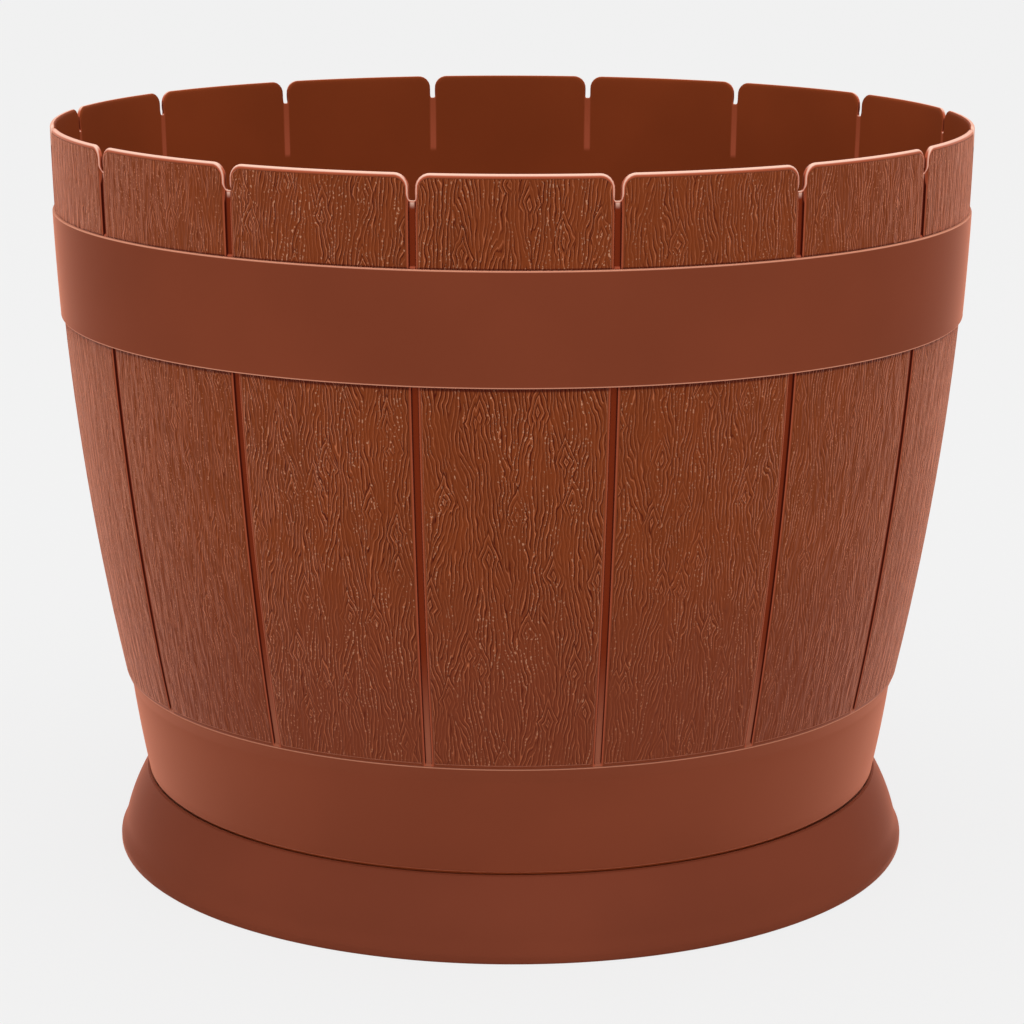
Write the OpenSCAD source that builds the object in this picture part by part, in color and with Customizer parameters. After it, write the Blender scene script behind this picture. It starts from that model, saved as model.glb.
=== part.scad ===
// Barrel-shaped floor planter, moulded in plastic with a wood-stave look.
// A one-piece pot stands in a flared base tray and carries two hoops and push-in drain plugs.
// +Z is up. The origin is the centre of the base where it meets the floor.

/* [Pot] */
// Outside radius of the staves at the widest line of the barrel
barrel_r = 240; // [220:1:260]
// Radius of the curve that the staves follow from top to bottom
stave_curve_r = 1500; // [1300:10:1800]
// Height of the widest line of the barrel above the rim
widest_above_rim = 16.7; // [5:0.1:30]
// Height of the pot from the lower edge of the lower hoop to the rim
pot_h = 347; // [320:1:380]
// Thickness of the pot's wall
wall_t = 2.8; // [2.4:0.1:3.6]
// Thickness of the pot's floor
floor_t = 3; // [2.4:0.1:4]
// Fillet between wall and floor inside the pot
floor_fillet_r = 6; // [2:0.5:10]

/* [Staves] */
// Number of staves around the pot
stave_count = 16; // [14:1:18]
// Width of the open notch between two stave tops
notch_w = 2.8; // [2:0.1:4]
// Depth of the notch below the rim
notch_depth = 12.7; // [10:0.1:16]
// Radius of the upper corners of each stave
stave_corner_r = 7; // [4:0.5:9]
// Width of the groove between two staves
groove_w = 3.4; // [2.4:0.1:4.4]
// Depth of the groove, which leaves a thin web behind it
groove_depth = 1.5; // [1:0.1:1.8]
// Distance from the round lower end of a groove to the lower hoop
groove_stop = 1.5; // [1:0.1:4]

/* [Upper hoop] */
// Distance from the rim down to the top edge of the upper hoop
upper_hoop_drop = 43.9; // [36:0.1:60]
// Height of the upper hoop
upper_hoop_h = 54.9; // [40:0.1:70]
// Thickness of the upper hoop
upper_hoop_t = 1.8; // [1.7:0.1:2.2]
// How far the upper hoop stands proud of the staves at its top edge
upper_hoop_proud_top = 1.15; // [0.8:0.05:1.4]
// How far the upper hoop stands proud of the staves at its bottom edge
upper_hoop_proud_bottom = 1.65; // [1.2:0.05:1.65]
// Outward belly of the upper hoop's face
upper_hoop_belly = 0.2; // [0.1:0.1:0.6]
// Radius of the outer edges of both hoops
hoop_edge_r = 0.7; // [0.4:0.1:0.8]

/* [Lower hoop] */
// Height of the lower hoop from its bottom edge to the ends of the staves
lower_hoop_h = 56.7; // [45:0.1:70]
// Thickness of the lower hoop
lower_hoop_t = 2; // [1.6:0.1:2.6]
// Height of the flared lip that closes the hoop against the stave ends
lip_h = 7.5; // [5:0.1:10]
// How far the lip's top edge lies inside the face of the staves
lip_inset = 0.4; // [0.2:0.1:1]
// How far the hoop's face below the lip lies inside the line of the staves
lower_hoop_inset = 1.65; // [1.2:0.05:2.2]
// How far the hoop's face draws in from the lip to its bottom edge
lower_hoop_taper = 7.8; // [6:0.1:9]
// Outward belly of the lower hoop's face
lower_hoop_belly = 0.4; // [0.1:0.1:0.8]
// Radius of the rounded bottom edge of the lower hoop
lower_edge_r = 1.6; // [0.8:0.1:1.6]

/* [Base] */
// Height of the base
base_h = 40.5; // [38:0.5:50]
// How far the foot of the base stands outside its rim
base_flare = 15.4; // [12:0.1:20]
// How far the rim of the base stands outside the bottom edge of the lower hoop
base_rim_step = 0.6; // [0.3:0.1:1.5]
// Thickness of the base's flared skirt
skirt_t = 2.8; // [2.4:0.1:3.4]
// Height of the upright band at the foot of the skirt
foot_band_h = 4.5; // [3:0.1:6]
// Height of the bevel between the foot band and the skirt
foot_bevel_h = 6; // [4:0.1:8]
// Width of the bevel between the foot band and the skirt
foot_bevel_w = 2.7; // [2:0.1:4]
// Outward belly of the skirt against a straight line
skirt_belly = 1.45; // [0.5:0.05:2]
// Width of the hollow between the skirt and the tray's wall at its upper end
fork_w = 1.2; // [0.8:0.1:2]
// Radius of the bottom edge of the foot
foot_edge_r = 1.5; // [0.5:0.1:2]
// Height of the tray's floor above the ground
tray_floor_z = 14; // [10:0.5:18]
// Thickness of the tray's floor and its inner wall
tray_t = 2.4; // [2:0.1:3]
// Number of stiffening ribs under the tray
rib_count = 12; // [8:1:16]
// Thickness of the ribs and the rings under the tray
rib_t = 2.2; // [1.6:0.1:3]
// Diameter of the ring that the ribs meet at the centre
hub_d = 90; // [60:5:140]
// Height of the ribs' lower edge above the ground
rib_lift = 6; // [3:0.5:6]

/* [Drain] */
// Height of the pot's floor above the tray's floor, which leaves room for drained water
water_h = 15; // [13:0.5:18]
// Diameter of the ring under the pot that stands in the tray
pot_foot_d = 330; // [280:1:350]
// Width of the ring under the pot
pot_foot_w = 3.2; // [2.4:0.1:5]
// Number of gaps in the ring that let the water level out
foot_gap_count = 4; // [3:1:6]
// Width of each gap in the ring
foot_gap_w = 24; // [12:1:40]
// Diameter of the circle that the drain holes lie on
drain_circle_d = 190; // [120:1:240]
// Diameter of a drain hole
drain_d = 16; // [12:0.5:20]
// Diameter of the plug's flange
plug_flange_d = 25; // [23:0.5:32]
// Thickness of the plug's flange
plug_flange_t = 2.2; // [1.6:0.1:3]
// Length of the plug's nose below the pot's floor
plug_nose = 3.5; // [2:0.5:5]
// Wall of the hollow plug
plug_wall = 1.6; // [1.2:0.1:2.2]
// Height of the grip on the plug
grip_h = 7; // [5:0.5:10]
// Length of the grip on the plug
grip_l = 15; // [10:0.5:18]
// Thickness of the grip on the plug
grip_t = 3; // [2:0.1:4]

/* [Fits] */
// Gap between a hoop and the seat it is pushed onto
hoop_fit = 0.05; // [0.02:0.01:0.1]
// Radial running clearance of a plug in its drain hole
plug_fit = 0.05; // [0.03:0.01:0.08]
// Gap left where one flat face rests on another
seat_gap = 0.1; // [0.05:0.05:0.3]
// Shadow gap between the base's rim and the lower hoop
rim_gap = 0.9; // [0.4:0.1:2]
// Gap between the pot's spigot and the wall of the tray
spigot_play = 1.4; // [1:0.1:2.5]

/* [Hidden] */

drain_count = 4;
over = 1;
fine = 180;
small = 48;
arc_steps = 12;
edge_steps = 4;
edge_land = 0.2;
spigot_edge_r = 3;
tray_draft = 0.5;

terracotta = [0.49, 0.24, 0.15];
hoop_brown = [0.45, 0.22, 0.15];
base_brown = [0.43, 0.21, 0.14];

// Heights, each measured from the ground
hoop_bottom_z = base_h + rim_gap;
rim_z = hoop_bottom_z + pot_h;
widest_z = rim_z + widest_above_rim;
stave_end_z = hoop_bottom_z + lower_hoop_h;
lip_z = stave_end_z - lip_h;
upper_top_z = rim_z - upper_hoop_drop;
upper_bottom_z = upper_top_z - upper_hoop_h;
notch_z = rim_z - notch_depth;
groove_end_z = stave_end_z + groove_stop;
pot_floor_z = tray_floor_z + water_h;
pot_floor_top = pot_floor_z + floor_t;
plug_seat_z = pot_floor_top + seat_gap;

// Radius of the stave face at height z: the barrel's curve is an arc of stave_curve_r
function stave_r(z) = barrel_r - stave_curve_r
    + sqrt(pow(stave_curve_r, 2) - pow(widest_z - z, 2));

// Evenly spaced points on the stave face, moved inwards by inset, from height z0 to z1
function stave_points(z0, z1, inset) =
    [for (i = [0 : arc_steps]) let (z = z0 + (z1 - z0) * i / arc_steps) [stave_r(z) - inset, z]];

// Points from a to b on a shallow curve that bulges to the right of the way by belly
function bowed(a, b, belly) =
    let (d = b - a, side = [d[1], -d[0]] / norm(d))
    [for (i = [0 : arc_steps]) let (t = i / arc_steps) a + d * t + side * belly * 4 * t * (1 - t)];

// Points on an arc about c from angle a0 to a1
function arc(c, r, a0, a1) =
    [for (i = [0 : edge_steps]) let (a = a0 + (a1 - a0) * i / edge_steps) c + r * [cos(a), sin(a)]];

// Face radii of the two hoops
upper_face_top = stave_r(upper_top_z) + upper_hoop_proud_top;
upper_face_bottom = stave_r(upper_bottom_z) + upper_hoop_proud_bottom;
lower_face_top = stave_r(lip_z) - lower_hoop_inset;
lower_face_bottom = lower_face_top - lower_hoop_taper;
lip_face = stave_r(stave_end_z) - lip_inset;

// Radii that the hoops leave for the shell's seats
upper_seat_top = upper_face_top - upper_hoop_t - hoop_fit;
upper_seat_bottom = upper_face_bottom - upper_hoop_t - hoop_fit;
lower_slope = lower_hoop_taper / (lip_z - hoop_bottom_z);
lip_seat = lip_face - lower_hoop_t - hoop_fit;
lower_seat_top = lower_face_top - lower_hoop_t - hoop_fit;
spigot_r = lower_seat_top - lower_slope * (lip_z - pot_floor_z);

// Radii of the base
base_rim_r = lower_face_bottom + base_rim_step;
foot_r = base_rim_r + base_flare;
bevel_top_r = foot_r - foot_bevel_w;
bevel_top_z = foot_band_h + foot_bevel_h;
tray_r = lower_seat_top - lower_slope * (lip_z - base_h) + spigot_play;
rim_edge_r = (base_rim_r - tray_r) / 2.5;
skirt_slope = (bevel_top_r - base_rim_r) / (base_h - bevel_top_z);
fork_z = bevel_top_z + (bevel_top_r + skirt_belly - skirt_t - tray_r - tray_t - fork_w) / skirt_slope;
pot_foot_r = pot_foot_d / 2;
drain_r = drain_d / 2;
plug_r = drain_r - plug_fit;
plug_shank_l = floor_t + seat_gap + plug_nose;

// Radius of the skirt's face at height z: a straight flare with an outward belly
function skirt_r(z) = let (t = (z - bevel_top_z) / (base_h - bevel_top_z))
    bevel_top_r + (base_rim_r - bevel_top_r) * t + skirt_belly * 4 * t * (1 - t);

// Evenly spaced points on the skirt's face, moved inwards by inset, from height z0 to z1
function skirt_points(z0, z1, inset) =
    [for (i = [0 : arc_steps]) let (z = z0 + (z1 - z0) * i / arc_steps) [skirt_r(z) - inset, z]];

// The pot: staves, webs, floor, foot ring and drain holes in one moulding
module stave_shell() {
    color(terracotta) difference() {
        pot_body();
        for (i = [0 : stave_count - 1]) rotate([0, 0, (i + 0.5) * 360 / stave_count]) {
            notch();
            groove();
        }
        for (i = [0 : drain_count - 1]) rotate([0, 0, (i + 0.5) * 360 / drain_count])
            translate([drain_circle_d / 2, 0, pot_floor_z - over])
                cylinder(r = drain_r, h = floor_t + 2 * over, $fn = small);
        for (i = [0 : foot_gap_count - 1]) rotate([0, 0, i * 360 / foot_gap_count])
            translate([pot_foot_r - pot_foot_w - over, -foot_gap_w / 2, tray_floor_z])
                cube([pot_foot_w + 2 * over, foot_gap_w, water_h - over]);
    }
}

module pot_body() {
    rotate_extrude($fn = fine) polygon(concat(
        [[0, pot_floor_z], [pot_foot_r - pot_foot_w, pot_floor_z],
         [pot_foot_r - pot_foot_w, tray_floor_z + seat_gap], [pot_foot_r, tray_floor_z + seat_gap],
         [pot_foot_r, pot_floor_z]],
        arc([spigot_r - spigot_edge_r, pot_floor_z + spigot_edge_r], spigot_edge_r, -90, 0),
        [[lower_seat_top, lip_z], [lip_seat, stave_end_z], [stave_r(stave_end_z), stave_end_z]],
        stave_points(stave_end_z + hoop_fit, upper_bottom_z - hoop_fit, 0),
        [[upper_seat_bottom, upper_bottom_z - hoop_fit], [upper_seat_top, upper_top_z + hoop_fit]],
        stave_points(upper_top_z + hoop_fit, rim_z - wall_t / 2, 0),
        arc([stave_r(rim_z) - wall_t / 2, rim_z - wall_t / 2], wall_t / 2, 20, 180),
        stave_points(rim_z - wall_t, stave_end_z + wall_t, wall_t),
        [[lower_seat_top - wall_t, lip_z - wall_t / 2]],
        arc([spigot_r + (pot_floor_top - pot_floor_z) * lower_slope - wall_t - floor_fillet_r,
             pot_floor_top + floor_fillet_r], floor_fillet_r, 0, -90),
        [[0, pot_floor_top]]));
}

// The open notch between two stave tops, with the staves' rounded corners beside it
module notch() {
    rotate([90, 0, 90]) translate([0, 0, barrel_r - 4 * wall_t]) linear_extrude(8 * wall_t) {
        translate([-notch_w / 2, notch_z]) square([notch_w, notch_depth + over]);
        for (side = [-1, 1]) difference() {
            translate([side * (notch_w + stave_corner_r) / 2, rim_z - (stave_corner_r - over) / 2])
                square([stave_corner_r, stave_corner_r + over], center = true);
            translate([side * (notch_w / 2 + stave_corner_r), rim_z - stave_corner_r])
                circle(r = stave_corner_r, $fn = small);
        }
    }
}

// One groove between two staves, cut to a web that follows the barrel's curve, with a round lower end
module groove() {
    end_z = groove_end_z + groove_w / 2;
    outside_r = barrel_r + wall_t;
    end_r = stave_r(end_z) - groove_depth;
    rotate([90, 0, 0]) linear_extrude(groove_w, center = true) polygon(concat(
        stave_points(end_z, rim_z + over, groove_depth),
        [[outside_r, rim_z + over], [outside_r, end_z]]));
    translate([end_r, 0, end_z]) rotate([0, 90, 0])
        cylinder(d = groove_w, h = outside_r - end_r, $fn = small);
}

// Flat band around the staves below the rim, pushed up onto its seat
module upper_hoop() {
    inner_top = upper_face_top - upper_hoop_t;
    inner_bottom = upper_face_bottom - upper_hoop_t;
    color(hoop_brown) rotate_extrude($fn = fine) polygon(concat(
        [[inner_bottom, upper_bottom_z]],
        arc([upper_face_bottom - hoop_edge_r, upper_bottom_z + hoop_edge_r], hoop_edge_r, -90, 0),
        bowed([upper_face_bottom, upper_bottom_z + 2 * hoop_edge_r],
              [upper_face_top, upper_top_z - 2 * hoop_edge_r], upper_hoop_belly),
        arc([upper_face_top - hoop_edge_r, upper_top_z - hoop_edge_r], hoop_edge_r, 0, 90),
        [[inner_top, upper_top_z]]));
}

// Band below the staves, with a flared lip under their ends
module lower_hoop() {
    edge_r = min(lower_edge_r, lower_hoop_t * 0.8);
    face_foot = [lower_face_bottom, hoop_bottom_z + edge_r];
    color(hoop_brown) rotate_extrude($fn = fine) polygon(concat(
        [[lower_face_bottom - lower_hoop_t, hoop_bottom_z]],
        arc(face_foot - [edge_r, 0], edge_r, -90, 0),
        bowed(face_foot + [0, edge_land], [lower_face_top, lip_z], lower_hoop_belly),
        [[lip_face, stave_end_z - 2 * hoop_fit], [lip_face - lower_hoop_t, stave_end_z - 2 * hoop_fit],
         [lower_face_top - lower_hoop_t, lip_z]]));
}

// Flared base with a drip tray inside it, in one moulding
module base_tray() {
    color(base_brown) {
        rotate_extrude($fn = fine) polygon(concat(base_outside(), base_inside(), base_underside()));
        intersection() {
            rotate_extrude($fn = fine) polygon(under_space());
            for (i = [0 : rib_count - 1]) rotate([0, 0, (i + 0.5) * 360 / rib_count])
                translate([hub_d / 2 - rib_t, -rib_t / 2, rib_lift])
                    cube([foot_r - hub_d / 2, rib_t, base_h]);
        }
        under_ring(pot_foot_r, 0);
        under_ring(hub_d / 2, rib_lift);
    }
}

// Ring of outside radius r under the tray, from height z up into the tray's floor
module under_ring(r, z) {
    translate([0, 0, z]) difference() {
        cylinder(r = r, h = tray_floor_z - tray_t / 2 - z, $fn = fine);
        translate([0, 0, -over]) cylinder(r = r - rib_t, h = tray_floor_z + over, $fn = fine);
    }
}

// Outline of the skirt from the ground up to the rim of the base
function base_outside() = concat(
    [[foot_r - skirt_t, 0]],
    arc([foot_r - foot_edge_r, foot_edge_r], foot_edge_r, -90, 0),
    [[foot_r, foot_band_h]],
    skirt_points(bevel_top_z, base_h - rim_edge_r, 0),
    arc([base_rim_r - rim_edge_r, base_h - rim_edge_r], rim_edge_r, 0, 90));

// Outline of the tray's hollow from the rim down to the axis
function base_inside() = concat(
    arc([tray_r + rim_edge_r, base_h - rim_edge_r], rim_edge_r, 90, 180),
    [[tray_r - tray_draft, tray_floor_z + tray_t], [tray_r - tray_draft - tray_t, tray_floor_z],
     [0, tray_floor_z]]);

// Outline of the hollow under the tray from the axis out to the skirt's bottom edge
function base_underside() = concat(
    [[0, tray_floor_z - tray_t], [tray_r, tray_floor_z - tray_t], [tray_r + tray_t, fork_z]],
    skirt_points(fork_z, bevel_top_z, skirt_t),
    [[foot_r - skirt_t, foot_band_h]]);

// Room under the tray that the ribs fill, a little inside the walls around it
function under_space() = concat(
    [[0, rib_lift], [0, tray_floor_z - tray_t / 2], [tray_r + tray_t / 2, tray_floor_z - tray_t / 2],
     [tray_r + tray_t / 2, fork_z + fork_w / 2]],
    skirt_points(fork_z + fork_w / 2, bevel_top_z, skirt_t / 2),
    [[foot_r - skirt_t / 2, foot_band_h], [foot_r - skirt_t / 2, rib_lift]]);

// Push-in plug for a drain hole, with a flange inside the pot and a grip to pull it by
module drain_plug(i) {
    color(base_brown) rotate([0, 0, (i + 0.5) * 360 / drain_count])
        translate([drain_circle_d / 2, 0, plug_seat_z]) {
            difference() {
                union() {
                    cylinder(d = plug_flange_d, h = plug_flange_t, $fn = small);
                    translate([0, 0, -plug_shank_l])
                        cylinder(r = plug_r, h = plug_shank_l + over, $fn = small);
                }
                translate([0, 0, -plug_shank_l - over])
                    cylinder(r = plug_r - plug_wall, h = plug_shank_l + over, $fn = small);
            }
            grip();
        }
}

// Upright bar with a rounded top
module grip() {
    straight = grip_h - grip_t / 2;
    translate([-grip_t / 2, -grip_l / 2, plug_flange_t / 2])
        cube([grip_t, grip_l, straight]);
    translate([0, grip_l / 2, plug_flange_t / 2 + straight]) rotate([90, 0, 0])
        cylinder(d = grip_t, h = grip_l, $fn = small);
}

stave_shell();
upper_hoop();
lower_hoop();
base_tray();
drain_plug(0);  // drain_plug_1
drain_plug(1);  // drain_plug_2
drain_plug(2);  // drain_plug_3
drain_plug(3);  // drain_plug_4
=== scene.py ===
"""Barrel planter moulded in terracotta plastic: pot, two bands, flared base and drain plugs.

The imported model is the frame. Each operator builds one piece or group of like pieces over it.
Lengths in the panel are in metres, and the shape functions below work in millimetres.
"""
import math
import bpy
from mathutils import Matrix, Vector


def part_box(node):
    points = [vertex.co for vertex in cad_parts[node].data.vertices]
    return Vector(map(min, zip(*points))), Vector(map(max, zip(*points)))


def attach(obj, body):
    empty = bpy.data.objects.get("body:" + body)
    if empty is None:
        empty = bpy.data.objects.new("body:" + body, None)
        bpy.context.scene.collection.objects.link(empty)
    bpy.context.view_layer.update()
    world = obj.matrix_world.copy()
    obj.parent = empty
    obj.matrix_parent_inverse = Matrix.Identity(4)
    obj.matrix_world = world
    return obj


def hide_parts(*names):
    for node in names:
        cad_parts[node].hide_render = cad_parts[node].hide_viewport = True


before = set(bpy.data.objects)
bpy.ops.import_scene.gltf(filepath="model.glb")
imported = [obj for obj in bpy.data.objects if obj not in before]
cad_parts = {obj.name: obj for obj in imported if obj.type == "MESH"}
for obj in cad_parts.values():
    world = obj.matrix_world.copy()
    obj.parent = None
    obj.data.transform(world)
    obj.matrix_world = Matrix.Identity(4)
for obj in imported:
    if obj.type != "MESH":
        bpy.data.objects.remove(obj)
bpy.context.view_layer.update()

from types import SimpleNamespace

import bpy
import numpy as np
from mathutils import Matrix, Vector

bl_info = {
    "name": "Barrel planter",
    "version": (1, 0, 0),
    "blender": (4, 5, 0),
    "location": "View3D > Sidebar > Planter",
    "description": "Builds a barrel-shaped planter over its packed model, with its stage",
    "category": "Add Mesh",
}

MM = 0.001  # a millimetre in metres
BOARD_STEP = 200.0  # distance between two boards in the grain's map, in millimetres
# Angle round the rim's half round, from inside to outside, and how much painted highlight shows
# on the top of a stave and on the sides of a notch. 1 is the crest's full painted highlight.
RIM_GLOW = ([-80, -60, -40, -15, 30, 55, 75, 90], [0, 0.35, 0.60, 0.95, 1.0, 0.98, 0.62, 0.38])
SIDE_GLOW = ([-70, -45, -20, 20, 50, 70, 90], [0, 0.30, 0.22, 0.22, 0.80, 0.85, 0.38])
# What the pot's parts away from the staves carry: no grain, no painted highlight, far from a
# groove.
PLAIN_DATA = {"grain_mask": 0.0, "edge_glow": 0.0, "from_groove": 10.0}
# Distances from a groove's middle, in millimetres: where its floor, the painted shade on its wall
# and the painted highlight on the rounding beside it fade out, and where the grain starts.
GROOVE_FLOOR, GROOVE_WALL, GROOVE_SIDE = (1.18, 1.5), (1.72, 1.92), (2.0, 2.75)
GRAIN_START = (2.7, 3.5)
# A drain plug in millimetres: length below its flange, thickness of the flange, height of the
# grip's top, the gap below the flange, and the play round the shank.
PLUG_SHANK, PLUG_FLANGE, PLUG_TOP, PLUG_GAP, PLUG_PLAY = 6.6, 2.2, 8.1, 0.1, 0.05
# Specular level of the smooth parts and of the staves, which shine a little more from the side,
# and the colour of the sheen that makes curved edges pale.
SMOOTH_GLOSS, STAVE_GLOSS = 0.01, 0.06
SHEEN_TINT = (1.0, 0.36, 0.22, 1.0)


def height(node, end):
    """Height of a CAD node's lowest (end 0) or highest (end 1) point, in millimetres."""
    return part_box(node)[end][2] / MM


# ---------------------------------------------------------------------------------------------
# Settings
# ---------------------------------------------------------------------------------------------

def length(name, description, default):
    """A length property in metres."""
    return bpy.props.FloatProperty(name=name, description=description, default=default,
                                   min=0.0, precision=5, unit="LENGTH")


def colour(name, description, default):
    """A colour property, with its default in linear light."""
    return bpy.props.FloatVectorProperty(name=name, description=description, default=default,
                                         size=3, min=0.0, max=1.0, subtype="COLOR")


class PlanterPotSizes(bpy.types.PropertyGroup):
    """Sizes of the pot and its staves."""
    stave_count: bpy.props.IntProperty(name="Staves", default=16, min=8, max=32,
                                       description="Number of staves around the pot")
    barrel_radius: length("Barrel radius", "Radius of the staves at the widest line", 0.240)
    curve_radius: length("Stave curve", "Radius of the curve along a stave", 1.500)
    widest_above_rim: length("Widest line", "Height of the widest line above the rim", 0.0167)
    wall: length("Wall", "Thickness of the pot's wall", 0.0028)
    floor: length("Floor", "Thickness of the pot's floor", 0.003)
    floor_fillet: length("Floor fillet", "Radius between wall and floor inside", 0.006)
    groove_width: length("Groove width", "Width of the groove between two staves", 0.0034)
    groove_depth: length("Groove depth", "Depth of the groove at the notch", 0.0015)
    groove_stop: length("Groove stop", "Distance from the groove's end to the lower band", 0.0015)
    notch_width: length("Notch width", "Width of the notch between two stave tops", 0.0028)
    notch_depth: length("Notch depth", "Depth of the notch below the rim", 0.0127)
    corner: length("Stave corner", "Radius of a stave's upper corners", 0.007)
    foot_radius: length("Foot ring", "Outer radius of the ring under the pot", 0.165)
    foot_width: length("Foot ring width", "Width of the ring under the pot", 0.0032)
    foot_gap: length("Foot gap", "Width of each gap in the ring under the pot", 0.024)


class PlanterBandSizes(bpy.types.PropertyGroup):
    """Sizes of the two bands and the seats that they are pushed onto."""
    upper_thickness: length("Upper band", "Thickness of the upper band", 0.0018)
    proud_top: length("Proud at top", "How far the upper band's top stands out", 0.00115)
    proud_bottom: length("Proud at bottom", "How far the upper band's bottom stands out", 0.00165)
    edge: length("Edge", "Radius of the upper band's outer edges", 0.0007)
    lower_thickness: length("Lower band", "Thickness of the lower band", 0.002)
    lip: length("Lip", "Height of the lower band's flared lip", 0.0075)
    lip_inset: length("Lip inset", "How far the lip's top lies inside the staves", 0.0004)
    inset: length("Band inset", "How far the band lies inside the staves below its lip", 0.00165)
    taper: length("Taper", "How far the lower band draws in downwards", 0.0078)
    lower_edge: length("Lower edge", "Radius of the lower band's bottom edge", 0.0016)
    fit: length("Fit", "Gap between a band and its seat", 0.00005)


class PlanterBaseSizes(bpy.types.PropertyGroup):
    """Sizes of the flared base and the drain plugs."""
    rim_step: length("Rim step", "How far the rim stands outside the lower band", 0.0006)
    flare: length("Flare", "How far the foot stands outside the rim", 0.0154)
    skirt: length("Skirt", "Thickness of the flared skirt", 0.0028)
    belly: length("Belly", "Outward bulge of the skirt", 0.00145)
    band_height: length("Foot band", "Height of the upright band at the foot", 0.0045)
    bevel_height: length("Bevel height", "Height of the bevel above the foot band", 0.006)
    bevel_width: length("Bevel width", "Width of the bevel above the foot band", 0.0027)
    foot_edge: length("Foot edge", "Radius of the foot's bottom edge", 0.0015)
    tray_floor: length("Tray floor", "Height of the tray's floor", 0.014)
    tray_thickness: length("Tray thickness", "Thickness of the tray", 0.0024)
    spigot_play: length("Play", "Gap between the pot and the tray's wall", 0.0014)
    rib_count: bpy.props.IntProperty(name="Ribs", description="Number of ribs under the tray",
                                     default=12, min=4, max=24)
    rib: length("Rib", "Thickness of the ribs and rings under the tray", 0.0022)
    rib_lift: length("Rib lift", "Height of the ribs' lower edge", 0.006)
    hub_radius: length("Hub", "Radius of the ring that the ribs meet", 0.045)
    drain_circle: length("Drain circle", "Radius of the circle of drain holes", 0.095)
    drain_radius: length("Drain hole", "Radius of a drain hole", 0.008)
    plug_flange: length("Plug flange", "Radius of a plug's flange", 0.0125)
    plug_wall: length("Plug wall", "Wall of a plug's hollow shank", 0.0016)
    grip_length: length("Grip length", "Length of a plug's grip", 0.015)
    grip_thickness: length("Grip thickness", "Thickness of a plug's grip", 0.003)


class PlanterColours(bpy.types.PropertyGroup):
    """Colours of the moulded plastic, of the painted light, shade and highlights on it, and of the
    stage.
    """
    stave: colour("Staves", "Face of the staves between the grain lines", (0.203, 0.0383, 0.0078))
    # Painted reflection of the floor: the feet of the staves less red and more blue.
    stave_low: colour("Stave feet", "Face of the staves towards their lower ends",
                      (0.186, 0.0368, 0.0135))
    # Painted shade on the grain's sunk lines, painted highlights on its raised lines and painted
    # glints on its dots, over a relief given as a bump.
    grain_valley: colour("Grain valley", "Sunk lines of the grain", (0.080, 0.0052, 0.0003))
    grain_ridge: colour("Grain ridge", "Raised lines of the grain", (0.520, 0.150, 0.062))
    grain_dot: colour("Grain dots", "Small raised dots of the grain", (0.640, 0.290, 0.165))
    stave_plain: colour("Plain parts", "Smooth borders of the staves", (0.225, 0.044, 0.012))
    # Painted shade on the groove's floor and walls, also for the painted shadows beside the upper
    # band, and painted light at the groove's lower end.
    groove: colour("Groove", "Floor of a groove between two staves", (0.190, 0.0210, 0.0025))
    painted_shade: colour("Groove wall", "Walls of a groove and dark lines",
                        (0.060, 0.0030, 0.0001))
    groove_end_painted_light: colour("Groove's end", "Lower end of a groove", (0.330, 0.095, 0.050))
    # Painted highlights on the rounded edges, brightest at the crest.
    rounding: colour("Rounding", "Where a stave's face turns to its edge", (0.500, 0.105, 0.048))
    crest: colour("Crest", "Crest of the rounded edges", (0.950, 0.600, 0.470))
    inside: colour("Inside", "Inside of the pot", (0.265, 0.052, 0.0150))
    # Painted light: light shining through the thin web.
    web: colour("Web", "Thin web behind a groove, lit from outside", (0.470, 0.105, 0.048))
    band: colour("Bands", "Both smooth bands", (0.208, 0.0464, 0.0208))
    # Painted highlight on the bands' edges and on the lower band's lip.
    band_edge_highlight: colour("Band edge", "Thin pale line on the bands' edges", (0.820, 0.360, 0.230))
    base: colour("Base", "Flared base with its tray", (0.199, 0.0472, 0.0235))
    # Painted shade on the base's top edge, and painted light in the shaded gap behind the seam.
    seam: colour("Seam", "Upper edge of the base below the seam", (0.150, 0.028, 0.010))
    seam_painted_light: colour("Inside of the seam", "Parts behind the seam, lit by what is round them",
                        (0.500, 0.092, 0.028))
    plug: colour("Plugs", "Drain plugs", (0.165, 0.032, 0.012))
    stage: colour("Stage", "Floor and background as the camera sees them", (0.895, 0.895, 0.895))


def sizes(context):
    """Every size of the three groups in millimetres, and every count as it is."""
    out = {}
    for group in (context.scene.planter_pot, context.scene.planter_bands,
                  context.scene.planter_base):
        for prop in group.bl_rna.properties:
            if prop.type == "FLOAT":
                out[prop.identifier] = getattr(group, prop.identifier) / MM
            elif prop.type == "INT":
                out[prop.identifier] = getattr(group, prop.identifier)
    s = SimpleNamespace(**out)
    s.rim_z = height("stave_shell", 1)
    s.upper_top, s.upper_bottom = height("upper_hoop", 1), height("upper_hoop", 0)
    s.band_bottom = height("lower_hoop", 0)
    s.stave_end = height("lower_hoop", 1) + 2 * s.fit
    s.base_top = height("base_tray", 1)
    s.lip_z = s.stave_end - s.lip
    s.plug_seat = height("drain_plug_1", 0) + PLUG_SHANK
    s.floor_top = s.plug_seat - PLUG_GAP
    s.floor_z = s.floor_top - s.floor
    s.notch_z = s.rim_z - s.notch_depth
    s.half_pitch = math.pi / s.stave_count
    s.lip_face = stave_radius(s, s.stave_end) - s.lip_inset
    s.band_face = stave_radius(s, s.lip_z) - s.inset
    s.band_slope = s.taper / (s.lip_z - s.band_bottom)
    s.lip_seat = s.lip_face - s.lower_thickness - s.fit
    s.band_seat = s.band_face - s.lower_thickness - s.fit
    s.spigot_r = s.band_seat - s.band_slope * (s.lip_z - s.floor_z)
    return s


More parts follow.
